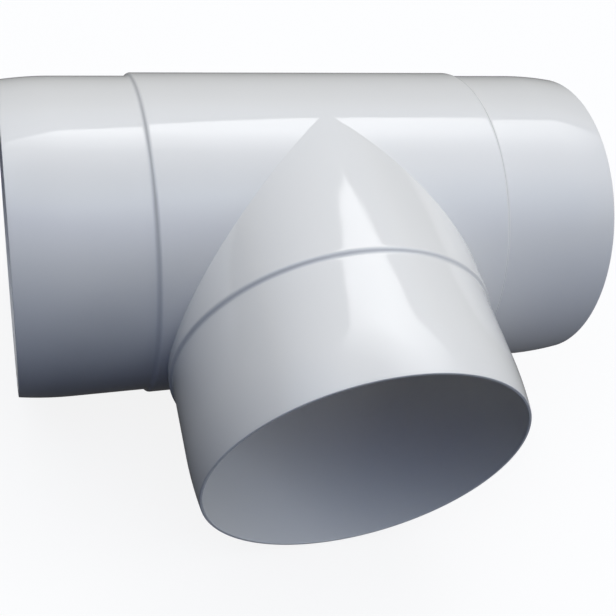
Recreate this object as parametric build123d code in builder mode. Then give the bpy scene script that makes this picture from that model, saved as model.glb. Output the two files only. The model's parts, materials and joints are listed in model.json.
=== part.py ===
"""Equal tee for round ventilation duct, moulded in one piece of rigid white plastic.

The run lies along X, the branch points along -Y, and the origin is the point where their axes cross.
The three arms are alike: a thick body up to a soft shoulder, then a thinner spigot. A duct pushes over the
spigot until it meets the shoulder, and the spigot's end bends inwards a little to lead the duct on.
"""

import os

from build123d import *

# Driving dimensions, in millimetres
spigot_diameter = 99.6  # slips into duct of 100 mm bore
shoulder_height = 1.0  # stop for the duct's end, about as high as the duct's wall is thick
shoulder_length = 2.0  # along the arm, for the soft S that the shoulder makes
spigot_wall = 2.1
rim_wall = 0.9  # what is left of the spigot's wall at its open end
arm_length = 93.0  # from the crossing of the axes to each open end
spigot_length = 39.0  # from the middle of the shoulder to the open end
lead_in_length = 16.0  # end stretch of the spigot that bends inwards
rim_rounding = 0.25

# Sizes that follow from them
spigot_radius = spigot_diameter / 2
body_radius = spigot_radius + shoulder_height
bore_radius = spigot_radius - spigot_wall
rim_radius = bore_radius + rim_wall
shoulder_place = arm_length - spigot_length
lead_in_place = arm_length - lead_in_length
rim_edge = min(rim_rounding, 0.45 * rim_wall)

# One arm, drawn with its axis along X from the crossing of the axes out to its open end
shoulder_start = (shoulder_place - shoulder_length / 2, body_radius)
shoulder_middle = (shoulder_place, body_radius - shoulder_height / 2)
shoulder_end = (shoulder_place + shoulder_length / 2, spigot_radius)
lead_in_start = (lead_in_place, spigot_radius)
rim_corner = (arm_length, rim_radius)
with BuildSketch() as arm_outline:
    with BuildLine():
        Polyline((0, 0), (0, body_radius), shoulder_start)
        shoulder_fall = TangentArc(shoulder_start, shoulder_middle, tangent=(1, 0))
        TangentArc(shoulder_middle, shoulder_end, tangent=shoulder_fall % 1)
        Line(shoulder_end, lead_in_start)
        TangentArc(lead_in_start, rim_corner, tangent=(1, 0))
        Polyline(rim_corner, (arm_length, 0), (0, 0))
    make_face()
    fillet(arm_outline.vertices().sort_by_distance(rim_corner)[0], radius=rim_edge)

# The air way through that arm, straight, with a rounded edge at its mouth
mouth_start = (arm_length - rim_edge, bore_radius)
mouth_end = (arm_length, bore_radius + rim_edge)
with BuildSketch() as arm_air_way:
    with BuildLine():
        Polyline((0, 0), (0, bore_radius), mouth_start)
        TangentArc(mouth_start, mouth_end, tangent=(1, 0))
        Polyline(mouth_end, (arm_length, 0), (0, 0))
    make_face()

# The branch's share of the tee: a wedge with its point on the crossing of the axes. Its two sides, at
# 45 degrees, are the mitres where the branch meets the two arms of the run
wedge_reach = arm_length + body_radius
wedge_corners = [(0, 0), (-wedge_reach, -wedge_reach), (wedge_reach, -wedge_reach)]
with BuildPart() as branch_wedge:
    with BuildSketch():
        with BuildLine():
            Polyline(wedge_corners, close=True)
        make_face()
    extrude(amount=wedge_reach, both=True)

branch_plane = Plane(origin=(0, 0, 0), x_dir=(0, -1, 0), z_dir=(0, 0, 1))
branch_axis = Axis((0, 0, 0), (0, -1, 0))


def three_arms(arm):
    """Turns an arm's outline into the branch and the run, which is two arms end to end."""
    with BuildPart() as branch:
        with BuildSketch(branch_plane):
            add(arm)
        revolve(axis=branch_axis)
        add(branch_wedge.part, mode=Mode.INTERSECT)
    with BuildPart() as tee:
        with BuildSketch():
            add(arm)
            mirror(about=Plane.YZ)
        revolve(axis=Axis.X)
        add(branch_wedge.part, mode=Mode.SUBTRACT)
        add(branch.part)
    return tee.part


with BuildPart() as tee_body:
    add(three_arms(arm_outline.sketch))
    add(three_arms(arm_air_way.sketch), mode=Mode.SUBTRACT)

tee_body.part.label = "tee_body"

os.makedirs("parts", exist_ok=True)
export_step(tee_body.part, "parts/tee_body.step")
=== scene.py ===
"""Round duct tee of white plastic, lying on a pale floor under soft window light. Units are metres."""
import json
import math

import bpy
from mathutils import Matrix, Vector


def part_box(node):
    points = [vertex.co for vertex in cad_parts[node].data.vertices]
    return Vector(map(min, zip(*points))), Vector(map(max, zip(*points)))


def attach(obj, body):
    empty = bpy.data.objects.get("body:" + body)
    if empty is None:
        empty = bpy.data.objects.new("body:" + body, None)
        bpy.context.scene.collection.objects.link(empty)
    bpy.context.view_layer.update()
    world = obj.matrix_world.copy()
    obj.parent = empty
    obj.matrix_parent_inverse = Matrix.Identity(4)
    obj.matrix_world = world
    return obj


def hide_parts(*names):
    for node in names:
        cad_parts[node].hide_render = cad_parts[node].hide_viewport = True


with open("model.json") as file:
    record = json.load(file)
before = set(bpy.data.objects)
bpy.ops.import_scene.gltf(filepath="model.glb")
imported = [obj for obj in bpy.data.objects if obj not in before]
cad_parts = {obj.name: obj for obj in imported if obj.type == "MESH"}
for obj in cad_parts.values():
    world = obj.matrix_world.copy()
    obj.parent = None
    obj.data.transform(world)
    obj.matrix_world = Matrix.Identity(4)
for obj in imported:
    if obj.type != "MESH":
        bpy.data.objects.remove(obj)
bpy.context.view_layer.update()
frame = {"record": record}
scene = bpy.context.scene
scene.view_settings.view_transform = "Standard"

# The tee: one moulding of rigid white plastic. Its three arms are alike, so one arm's section is drawn,
# from the body's outside round the spigot's rim to the bore, and turned about the arm's axis three times.
# Run and branch meet in mitres at 45 degrees, which leave a sharp crease inside and out.
MM = 0.001
tee_low, tee_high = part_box("tee_body")
mounts = {mount["name"]: mount for mount in frame["record"]["mounts"]}
spigot = mounts["run_spigot_right"]
arm_length = tee_high.x
body_radius = tee_high.z
spigot_radius = spigot["dims"]["r_mm"] * MM
bore_radius = mounts["branch_bore"]["dims"]["r_mm"] * MM
straight_length = spigot["dims"]["length_mm"] * MM
straight_start = spigot["pos_m"][0] - straight_length / 2
lead_in_place = straight_start + straight_length
shoulder_length = 2.0 * MM
rim_wall = 0.9 * MM
rim_rounding = 0.25 * MM
flat_margin = 0.6 * MM  # short stretch beside a rounding, which keeps the long stretch's shading straight
turn_steps = 256
weld_distance = 0.005 * MM


def arc(centre, radius, start_deg, end_deg, steps):
    """Points of an arc in the section's plane, along the axis and out from it."""
    turns = [math.radians(start_deg + (end_deg - start_deg) * i / steps) for i in range(steps + 1)]
    return [(centre[0] + radius * math.cos(t), centre[1] + radius * math.sin(t)) for t in turns]


# The shoulder is a soft S of two equal arcs, which leave the body and reach the spigot without a corner
shoulder_height = body_radius - spigot_radius
shoulder_radius = (shoulder_length**2 + shoulder_height**2) / (4 * shoulder_height)
shoulder_deg = math.degrees(math.asin(shoulder_length / 2 / shoulder_radius))
shoulder_start = straight_start - shoulder_length
fall_centre = (shoulder_start, body_radius - shoulder_radius)
foot_centre = (straight_start, spigot_radius + shoulder_radius)

# The lead-in is an arc that leaves the spigot's straight stretch without a corner and ends at the rim
lead_in_length = arm_length - lead_in_place
lead_in_drop = spigot_radius - bore_radius - rim_wall
lead_in_radius = (lead_in_length**2 + lead_in_drop**2) / (2 * lead_in_drop)
lead_in_centre = (lead_in_place, spigot_radius - lead_in_radius)
rim_reach = lead_in_length - rim_rounding
rim_rise = math.sqrt((lead_in_radius - rim_rounding) ** 2 - rim_reach**2)
rim_centre = (lead_in_place + rim_reach, lead_in_centre[1] + rim_rise)
rim_deg = math.degrees(math.atan2(rim_rise, rim_reach))
mouth_centre = (arm_length - rim_rounding, bore_radius + rim_rounding)

section = [(0, body_radius), (shoulder_start - flat_margin, body_radius)]
section += arc(fall_centre, shoulder_radius, 90, 90 - shoulder_deg, 10)
section += arc(foot_centre, shoulder_radius, 270 - shoulder_deg, 270, 10)[1:]
section += [(straight_start + flat_margin, spigot_radius), (lead_in_place - flat_margin, spigot_radius)]
section += arc(lead_in_centre, lead_in_radius, 90, rim_deg, 16)
section += arc(rim_centre, rim_rounding, rim_deg, 0, 6)[1:]
section += arc(mouth_centre, rim_rounding, 0, -90, 6)
section += [(mouth_centre[0] - flat_margin, bore_radius), (0, bore_radius)]
section_mesh = bpy.data.meshes.new("arm_section")
section_edges = [(i, i + 1) for i in range(len(section) - 1)]
section_mesh.from_pydata([(along, out, 0) for along, out in section], section_edges, [])
section_object = bpy.data.objects.new("arm_section", section_mesh)
scene.collection.objects.link(section_object)


def add_node(tree, kind, inputs=None, **settings):
    """Adds a node with its settings. An input takes a value, a socket or another node's first socket."""
    node = tree.nodes.new(kind)
    for name, value in settings.items():
        setattr(node, name, value)
    for name, value in (inputs or {}).items():
        if isinstance(value, bpy.types.Node):
            value = value.outputs[0]
        if isinstance(value, bpy.types.NodeSocket):
            tree.links.new(value, node.inputs[name])
        else:
            node.inputs[name].default_value = value
    return node


def add_sockets(tree, inputs):
    """Gives a tree its named inputs and its one mesh output."""
    for name, kind in inputs:
        tree.interface.new_socket(name, in_out="INPUT", socket_type=kind)
    tree.interface.new_socket("Mesh", in_out="OUTPUT", socket_type="NodeSocketGeometry")


# One arm: a grid whose rows follow the section and whose columns go round the axis, backwards, so that the
# faces look outwards. The two mitre slopes push the arm's inner end out to the planes where it meets its
# neighbours. Two marks, on_mitre and in_bore, say where the creases and the bore are.
arm_tree = bpy.data.node_groups.new("turned_arm", "GeometryNodeTree")
arm_sockets = [
    ("Section", "NodeSocketGeometry"),
    ("Turn Steps", "NodeSocketInt"),
    ("Front Mitre Slope", "NodeSocketFloat"),
    ("Back Mitre Slope", "NodeSocketFloat"),
    ("Heading", "NodeSocketFloat"),
]
add_sockets(arm_tree, arm_sockets)
given = arm_tree.nodes.new("NodeGroupInput").outputs
curve = add_node(arm_tree, "GeometryNodeMeshToCurve", {"Mesh": given["Section"]})
curve_size = add_node(arm_tree, "GeometryNodeAttributeDomainSize", {"Geometry": curve}, component="CURVE")
columns = add_node(arm_tree, "ShaderNodeMath", {0: given["Turn Steps"], 1: 1}, operation="ADD")
grid_sizes = {"Vertices X": curve_size.outputs["Point Count"], "Vertices Y": columns}
grid = add_node(arm_tree, "GeometryNodeMeshGrid", grid_sizes)

index = arm_tree.nodes.new("GeometryNodeInputIndex")
row_share = add_node(arm_tree, "ShaderNodeMath", {0: index, 1: columns}, operation="DIVIDE")
row = add_node(arm_tree, "ShaderNodeMath", {0: row_share}, operation="FLOOR")
column = add_node(arm_tree, "ShaderNodeMath", {0: index, 1: columns}, operation="MODULO")
position = arm_tree.nodes.new("GeometryNodeInputPosition")
sample_inputs = {"Geometry": curve, "Value": position, "Index": row}
section_point = add_node(arm_tree, "GeometryNodeSampleIndex", sample_inputs, data_type="FLOAT_VECTOR")
turn_share = add_node(arm_tree, "ShaderNodeMath", {0: column, 1: given["Turn Steps"]}, operation="DIVIDE")
turn = add_node(arm_tree, "ShaderNodeMath", {0: turn_share, 1: -math.tau}, operation="MULTIPLY")
turn_inputs = {"Vector": section_point.outputs["Value"], "Angle": turn}
turned_point = add_node(arm_tree, "ShaderNodeVectorRotate", turn_inputs, rotation_type="X_AXIS")
turned = add_node(arm_tree, "ShaderNodeSeparateXYZ", {"Vector": turned_point}).outputs

front_inputs = {0: turned["Y"], 1: given["Front Mitre Slope"]}
front_mitre = add_node(arm_tree, "ShaderNodeMath", front_inputs, operation="MULTIPLY")
back_inputs = {0: turned["Y"], 1: given["Back Mitre Slope"]}
back_mitre = add_node(arm_tree, "ShaderNodeMath", back_inputs, operation="MULTIPLY")
mitre = add_node(arm_tree, "ShaderNodeMath", {0: front_mitre, 1: back_mitre}, operation="MAXIMUM")
pushed_out = add_node(arm_tree, "ShaderNodeMath", {0: mitre, 1: turned["X"]}, operation="SUBTRACT")
on_mitre = add_node(arm_tree, "ShaderNodeMath", {0: pushed_out, 1: weld_distance}, operation="GREATER_THAN")
along = add_node(arm_tree, "ShaderNodeMath", {0: mitre, 1: turned["X"]}, operation="MAXIMUM")
place = add_node(arm_tree, "ShaderNodeCombineXYZ", {"X": along, "Y": turned["Y"], "Z": turned["Z"]})
heading_inputs = {"Vector": place, "Angle": given["Heading"]}
headed = add_node(arm_tree, "ShaderNodeVectorRotate", heading_inputs, rotation_type="Z_AXIS")
mark_inputs = {"Geometry": grid, "Name": "on_mitre", "Value": on_mitre}
marked = add_node(arm_tree, "GeometryNodeStoreNamedAttribute", mark_inputs, data_type="BOOLEAN")
drawn_inputs = {"Vector": section_point.outputs["Value"]}
drawn = add_node(arm_tree, "ShaderNodeSeparateXYZ", drawn_inputs).outputs
bore_inputs = {0: drawn["Y"], 1: bore_radius + weld_distance}
in_bore = add_node(arm_tree, "ShaderNodeMath", bore_inputs, operation="LESS_THAN")
bored_inputs = {"Geometry": marked, "Name": "in_bore", "Value": in_bore}
bored = add_node(arm_tree, "GeometryNodeStoreNamedAttribute", bored_inputs, data_type="FLOAT")
placed = add_node(arm_tree, "GeometryNodeSetPosition", {"Geometry": bored, "Position": headed})
add_node(arm_tree, "NodeGroupOutput", {"Mesh": placed})

# The whole tee: right arm, left arm and branch, welded, with smooth faces and sharp creases at the mitres
tee_tree = bpy.data.node_groups.new("duct_tee", "GeometryNodeTree")
tee_sockets = [
    ("Section", "NodeSocketGeometry"),
    ("Turn Steps", "NodeSocketInt"),
    ("Weld Distance", "NodeSocketFloat"),
    ("Material", "NodeSocketMaterial"),
]
add_sockets(tee_tree, tee_sockets)
given = tee_tree.nodes.new("NodeGroupInput").outputs
joined = tee_tree.nodes.new("GeometryNodeJoinGeometry")
for front_slope, back_slope, heading_deg in ((-1, 0, 0), (1, 0, 180), (-1, 1, -90)):
    arm_inputs = {
        "Section": given["Section"],
        "Turn Steps": given["Turn Steps"],
        "Front Mitre Slope": front_slope,
        "Back Mitre Slope": back_slope,
        "Heading": math.radians(heading_deg),
    }
    arm = add_node(tee_tree, "GeometryNodeGroup", arm_inputs, node_tree=arm_tree)
    tee_tree.links.new(arm.outputs["Mesh"], joined.inputs["Geometry"])
weld_inputs = {"Geometry": joined, "Distance": given["Weld Distance"]}
welded = add_node(tee_tree, "GeometryNodeMergeByDistance", weld_inputs)
smooth = add_node(tee_tree, "GeometryNodeSetShadeSmooth", {"Geometry": welded}, domain="FACE")
crease = add_node(tee_tree, "GeometryNodeInputNamedAttribute", {"Name": "on_mitre"}, data_type="BOOLEAN")
crease_inputs = {"Geometry": smooth, "Selection": crease, "Shade Smooth": False}
creased = add_node(tee_tree, "GeometryNodeSetShadeSmooth", crease_inputs, domain="EDGE")
cleaned = add_node(tee_tree, "GeometryNodeRemoveAttribute", {"Geometry": creased, "Name": "on_mitre"})
real = add_node(tee_tree, "GeometryNodeRealizeInstances", {"Geometry": cleaned})
dressed = add_node(tee_tree, "GeometryNodeSetMaterial", {"Geometry": real, "Material": given["Material"]})
add_node(tee_tree, "NodeGroupOutput", {"Mesh": dressed})


def linear(hex_colour):
    """Linear red, green, blue and alpha of an sRGB hex colour."""
    shares = [int(hex_colour[i : i + 2], 16) / 255 for i in (1, 3, 5)]
    return [s / 12.92 if s <= 0.04045 else ((s + 0.055) / 1.055) ** 2.4 for s in shares] + [1.0]


# Rigid PVC, white, moulded against a polished tool: a clear gloss with soft waves that bend reflections a
# little, a fine haze that dulls them here and there, and a hardly seen drift in the white. The bore, formed
# on a core that isn't polished, is duller.
bore_dulling = 0.3  # added to the roughness there
drift_size, haze_size, wave_size, grain_size = 60 * MM, 9 * MM, 24 * MM, 0.9 * MM
wave_depth, grain_depth = 0.12 * MM, 0.0012 * MM
white_pvc = bpy.data.materials.new("moulded_white_pvc")
white_pvc.use_nodes = True
white_pvc.node_tree.nodes.clear()
pvc = white_pvc.node_tree
pvc_place = pvc.nodes.new("ShaderNodeTexCoord").outputs["Object"]
drift = add_node(pvc, "ShaderNodeTexNoise", {"Vector": pvc_place, "Scale": 1 / drift_size, "Detail": 3})
haze = add_node(pvc, "ShaderNodeTexNoise", {"Vector": pvc_place, "Scale": 1 / haze_size, "Detail": 4})
wave = add_node(pvc, "ShaderNodeTexNoise", {"Vector": pvc_place, "Scale": 1 / wave_size, "Detail": 1})
grain = add_node(pvc, "ShaderNodeTexNoise", {"Vector": pvc_place, "Scale": 1 / grain_size, "Detail": 2})
tint_inputs = {0: drift.outputs["Fac"], 6: linear("#e6e3dc"), 7: linear("#ebe8e1")}
tint = add_node(pvc, "ShaderNodeMix", tint_inputs, data_type="RGBA")
haze_range = {"From Min": 0.3, "From Max": 0.7, "To Min": 0.04, "To Max": 0.07}
polish = add_node(pvc, "ShaderNodeMapRange", {"Value": haze.outputs["Fac"]} | haze_range)
bore_mark = add_node(pvc, "ShaderNodeAttribute", attribute_name="in_bore").outputs["Fac"]
dull_inputs = {0: bore_mark, 1: bore_dulling, 2: polish}
roughness = add_node(pvc, "ShaderNodeMath", dull_inputs, operation="MULTIPLY_ADD")
wave_inputs = {"Height": wave.outputs["Fac"], "Strength": 1.0, "Distance": wave_depth}
wave_bump = add_node(pvc, "ShaderNodeBump", wave_inputs)
grain_inputs = {"Height": grain.outputs["Fac"], "Strength": 1.0, "Distance": grain_depth, "Normal": wave_bump}
grain_bump = add_node(pvc, "ShaderNodeBump", grain_inputs)
pvc_inputs = {"Base Color": tint.outputs[2], "Roughness": roughness, "IOR": 1.53, "Normal": grain_bump}
pvc_shader = add_node(pvc, "ShaderNodeBsdfPrincipled", pvc_inputs)
add_node(pvc, "ShaderNodeOutputMaterial", {"Surface": pvc_shader})

modifier = section_object.modifiers.new("duct_tee", "NODES")
modifier.node_group = tee_tree
tee_values = {"Turn Steps": turn_steps, "Weld Distance": weld_distance, "Material": white_pvc}
for item in tee_tree.interface.items_tree:
    if item.in_out == "INPUT" and item.name in tee_values:
        modifier[item.identifier] = tee_values[item.name]
evaluated = section_object.evaluated_get(bpy.context.evaluated_depsgraph_get())
tee_mesh = bpy.data.meshes.new_from_object(evaluated)
bpy.data.objects.remove(section_object)
tee_shell = bpy.data.objects.new("tee_shell", tee_mesh)
scene.collection.objects.link(tee_shell)
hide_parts("tee_body")
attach(tee_shell, "root")

# The floor: pale paper that the tee lies on, with the undersides of its three bodies, and that sweeps up
# all round into a low backdrop. The eye sees it near white, with the tee's shadow, and the plastic's gloss
# sees the same white dimmer, as a grazing look at paper would. It throws little light back.
floor_reach = 2.5
sweep_radius = 1.0
backdrop_height = 1.7
around = 64
sweep = arc((floor_reach, sweep_radius), sweep_radius, -90, 0, 12)
sweep += [(floor_reach + sweep_radius, backdrop_height)]
floor_points = [(0, 0, tee_low.z)]
for out, rise in sweep:
    for step in range(around):
        turn_angle = math.tau * step / around
        floor_points.append((out * math.cos(turn_angle), out * math.sin(turn_angle), tee_low.z + rise))
floor_faces = [(0, 1 + step, 1 + (step + 1) % around) for step in range(around)]
for ring in range(len(sweep) - 1):
    for step in range(around):
        near = 1 + ring * around + step
        beside = 1 + ring * around + (step + 1) % around
        floor_faces.append((near, near + around, beside + around, beside))
floor_mesh = bpy.data.meshes.new("floor")
floor_mesh.from_pydata(floor_points, [], floor_faces)
floor_mesh.shade_smooth()
floor = bpy.data.objects.new("floor", floor_mesh)
scene.collection.objects.link(floor)

gloss_share = 0.07  # of the paper's white, as the gloss sees it
glow_share = 0.88  # of the paper's white that is its own, so that the shadow takes only the rest
paper = bpy.data.materials.new("pale_paper")
paper.use_nodes = True
paper.node_tree.nodes.clear()
sheet = paper.node_tree
rays = sheet.nodes.new("ShaderNodeLightPath").outputs
mirror_inputs = {0: rays["Is Glossy Ray"], 1: rays["Is Transmission Ray"]}
mirrored = add_node(sheet, "ShaderNodeMath", mirror_inputs, operation="MAXIMUM")
dimmed = add_node(sheet, "ShaderNodeMath", {0: mirrored, 1: gloss_share}, operation="MULTIPLY")
white_share = add_node(sheet, "ShaderNodeMath", {0: dimmed, 1: rays["Is Camera Ray"]}, operation="MAXIMUM")
share = add_node(sheet, "ShaderNodeMath", {0: white_share, 1: glow_share}, operation="MULTIPLY")
matt_inputs = {0: rays["Is Camera Ray"], 6: linear("#282a2e"), 7: linear("#fafafa")}
matt_tone = add_node(sheet, "ShaderNodeMix", matt_inputs, data_type="RGBA")
matt = add_node(sheet, "ShaderNodeBsdfDiffuse", {"Color": matt_tone.outputs[2]})
glow = add_node(sheet, "ShaderNodeEmission", {"Color": linear("#ffffff"), "Strength": 1.0})
mixed = add_node(sheet, "ShaderNodeMixShader", {0: share, 1: matt, 2: glow})
add_node(sheet, "ShaderNodeOutputMaterial", {"Surface": mixed})
floor_mesh.materials.append(paper)

# The sky: pale, bright from half way up to overhead, dark low down and in front, where it is also bluer. A
# window high at the back right leaves its reflection on the branch and along the top of the run.


def toward(azimuth_deg, elevation_deg):
    """Unit vector at an azimuth, from +Y towards +X, and an elevation."""
    azimuth, elevation = math.radians(azimuth_deg), math.radians(elevation_deg)
    level = math.cos(elevation)
    return Vector((level * math.sin(azimuth), level * math.cos(azimuth), math.sin(elevation)))


# Each ramp goes by how far a direction lies along an axis: a sine, from its first stop up to one
height_tones = (
    (0, "#1c1911"),
    (12, "#3b3527"),
    (25, "#686257"),
    (38, "#b2b4b8"),
    (52, "#e0e1e4"),
    (68, "#ffffff"),
    (90, "#adadad"),
)
height_stops = [(math.sin(math.radians(deg)), tone) for deg, tone in height_tones]
depth_stops = ((-1, "#000000"), (-0.5, "#50629e"), (-0.15, "#e0f0ff"), (0.2, "#ffffff"), (1, "#d5d5d5"))
sky_ramps = ((toward(0, 90), height_stops), (toward(25, 0), depth_stops))
window_middle = toward(30, 60)
window_right = toward(120, 0)
window_up = window_right.cross(window_middle)
sill_axis = window_up + 0.1 * window_right + 0.32 * window_middle
sill_stops = ((0, "#000000"), (0.025, "#ffffff"), (0.23, "#ffffff"), (0.34, "#bcbcbc"), (0.48, "#000000"))
left_axis = 0.76 * window_right + 0.65 * window_up + 0.25 * window_middle
left_stops = ((0, "#000000"), (0.018, "#ffffff"))
right_axis = 0.66 * window_middle - window_right
right_stops = ((0, "#000000"), (0.5, "#ffffff"))
window_ramps = ((sill_axis, sill_stops), (left_axis, left_stops), (right_axis, right_stops))
sky_strength = 2.05
window_strength = 3.45

sky = bpy.data.worlds.new("pale_sky")
scene.world = sky
sky.use_nodes = True
sky.node_tree.nodes.clear()
air = sky.node_tree
direction = air.nodes.new("ShaderNodeTexCoord").outputs["Generated"]
air_light = (0.0, 0.0, 0.0)
for strength, ramps in ((sky_strength, sky_ramps), (window_strength, window_ramps)):
    tone = (strength, strength, strength)
    for axis, stops in ramps:
        low = stops[0][0]
        axis_inputs = {0: direction, 1: axis.normalized()}
        sine = add_node(air, "ShaderNodeVectorMath", axis_inputs, operation="DOT_PRODUCT").outputs["Value"]
        reach = add_node(air, "ShaderNodeMapRange", {"Value": sine, "From Min": low, "From Max": 1.0})
        ramp = add_node(air, "ShaderNodeValToRGB", {"Fac": reach})
        elements = ramp.color_ramp.elements
        while len(elements) < len(stops):
            elements.new(1.0)
        for element, (at, colour) in zip(elements, stops):
            element.position = (at - low) / (1 - low)
            element.color = linear(colour)
        tone = add_node(air, "ShaderNodeVectorMath", {0: tone, 1: ramp}, operation="MULTIPLY")
    air_light = add_node(air, "ShaderNodeVectorMath", {0: air_light, 1: tone}, operation="ADD")
sky_light = add_node(air, "ShaderNodeBackground", {"Color": air_light, "Strength": 1.0})
add_node(air, "ShaderNodeOutputWorld", {"Surface": sky_light})

# The screen: a flat lamp at the front right, which lights the inside of the branch's mouth. Its place and
# size are angles as seen from the tee, and the plastic's gloss doesn't mirror it.
screen_distance = 1.6
screen_width_deg = 31
screen_height_deg = 32
screen_radiance = 2.5
screen_data = bpy.data.lights.new("screen", "AREA")
screen_data.shape = "RECTANGLE"
screen_data.size = 2 * screen_distance * math.tan(math.radians(screen_width_deg / 2))
screen_data.size_y = 2 * screen_distance * math.tan(math.radians(screen_height_deg / 2))
screen_data.energy = screen_radiance * math.pi * screen_data.size * screen_data.size_y
screen_data.color = linear("#e2ebff")[:3]
screen = bpy.data.objects.new("screen", screen_data)
screen.location = toward(130, 7) * screen_distance
screen.rotation_euler = (-screen.location).to_track_quat("-Z", "Y").to_euler()
screen.visible_glossy = False
scene.collection.objects.link(screen)

# The camera: close above the branch's left, tipped to one side, as the picture was taken
camera_data = bpy.data.cameras.new("camera")
camera_data.sensor_width = 36.0
camera_data.lens = 56.16
camera = bpy.data.objects.new("camera", camera_data)
eye = Vector((-95.77, -206.87, 234.87)) * MM
aim = Vector((-3.42, -34.55, 0.0)) * MM
tip = math.radians(18.05)
looking = (aim - eye).to_track_quat("-Z", "Y").to_matrix() @ Matrix.Rotation(tip, 3, "Z")
camera.matrix_world = Matrix.Translation(eye) @ looking.to_4x4()
scene.collection.objects.link(camera)
scene.camera = camera
